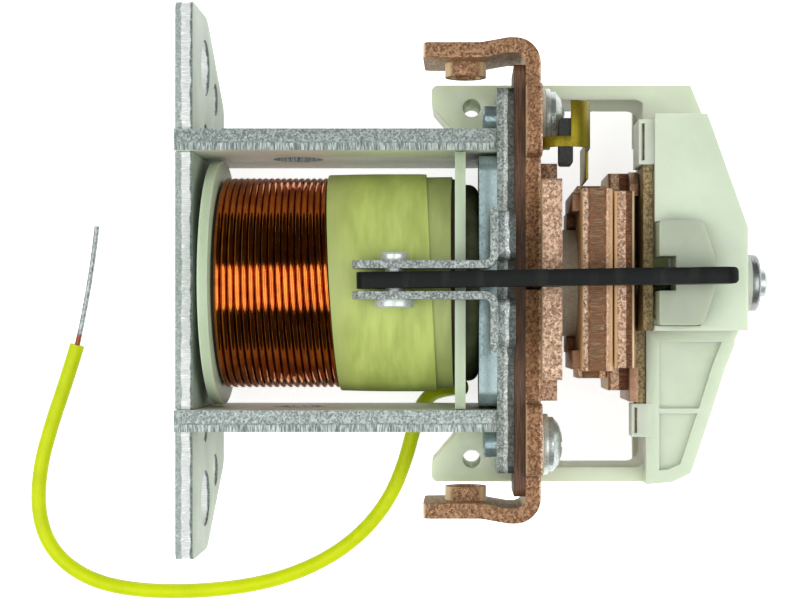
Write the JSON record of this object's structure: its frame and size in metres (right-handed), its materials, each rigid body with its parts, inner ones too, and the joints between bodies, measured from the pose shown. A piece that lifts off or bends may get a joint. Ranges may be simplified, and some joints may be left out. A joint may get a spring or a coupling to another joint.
{
  "type": "starter solenoid",
  "caption": "Open-frame starter solenoid: coil in a steel yoke pulls a plunger and copper bridges onto fixed contacts, with a trip lever and nylon end housing.",
  "frame": {"origin": "centre of the mounting face, on the coil axis", "axes": "+X along the coil axis from the mounting face to the contacts, +Y towards the upper terminal, +Z towards the side with the trip lever"},
  "size_m": [0.1379, 0.1082, 0.0522],
  "materials": {
    "zinc_steel": "zinc-plated sheet with sheared edges",
    "blue_zinc": "blue zinc plate",
    "bare_steel": "turned steel",
    "bright_steel": "bright zinc fastener",
    "spring_steel": "spring wire",
    "black_steel": "black satin",
    "enamelled_copper": "glossy enamelled wire",
    "copper_plate": "copper plated strip",
    "contact_copper": "sheared copper",
    "leaf_brass": "satin brass strip",
    "tinned_copper": "tinned wire",
    "coil_tape": "varnished cloth tape",
    "bobbin_nylon": "moulded nylon",
    "housing_nylon": "translucent moulded nylon",
    "guide_nylon": "translucent moulded nylon",
    "laminate": "laminated board",
    "fibre": "moulded fibre",
    "dark_rubber": "dark rubber",
    "lead_insulation": "glossy insulation"
  },
  "bodies": {
    "frame_body": {"mounting_plate": "zinc_steel", "upper_yoke_bar": "zinc_steel", "lower_yoke_bar": "zinc_steel", "fixed_core": "bare_steel", "core_spacer": "bare_steel", "bobbin": "bobbin_nylon", "copper_winding": "enamelled_copper", "coil_tape": "coil_tape", "coil_tape_end": "coil_tape", "end_ring": "dark_rubber", "pole_plate": "blue_zinc", "front_plate": "zinc_steel", "insulating_plate": "laminate", "upper_terminal": "copper_plate", "lower_terminal": "copper_plate", "upper_fixed_contact": "contact_copper", "lower_fixed_contact": "contact_copper", "screw_sleeves": "fibre", "screw_washers": "bright_steel", "terminal_screws": "bright_steel", "leaf_spring": "leaf_brass", "spring_buffer": "dark_rubber", "return_spring": "spring_steel", "spring_seat_plate": "laminate", "guide_disc": "dark_rubber", "rear_housing": "housing_nylon", "hook_guide_block": "guide_nylon", "contact_spring": "spring_steel", "guide_screw": "bright_steel", "guide_nut": "bright_steel", "upper_lever_bracket": "zinc_steel", "lower_lever_bracket": "zinc_steel", "lever_pin": "bright_steel", "lead_wire": "lead_insulation", "lead_conductor": "tinned_copper"},
    "contact_carrier": {"plunger": "bare_steel", "plunger_rod": "bare_steel", "insulating_bush": "fibre", "moving_bridge": "contact_copper", "bridge_contact_tips": "contact_copper", "second_bridge": "contact_copper", "third_bridge": "contact_copper", "retaining_clip": "spring_steel", "catch_collar": "bare_steel"},
    "lever_body": {"trip_lever": "black_steel"}
  },
  "joints": [
    {"name": "contact_slide", "type": "slide", "parent": "frame_body", "child": "contact_carrier", "axis": [-1, 0, 0], "range_m": [0, 0.0018], "stiffness_N_per_m": 1500, "springref_m": -0.006, "deforming": ["return_spring", "contact_spring"]},
    {"name": "lever_pivot", "type": "hinge", "parent": "frame_body", "child": "lever_body", "pos_m": [0.0379, -0.0002, 0.023], "axis": [0, -1, 0], "range_deg": [0, 4.5]}
  ]
}
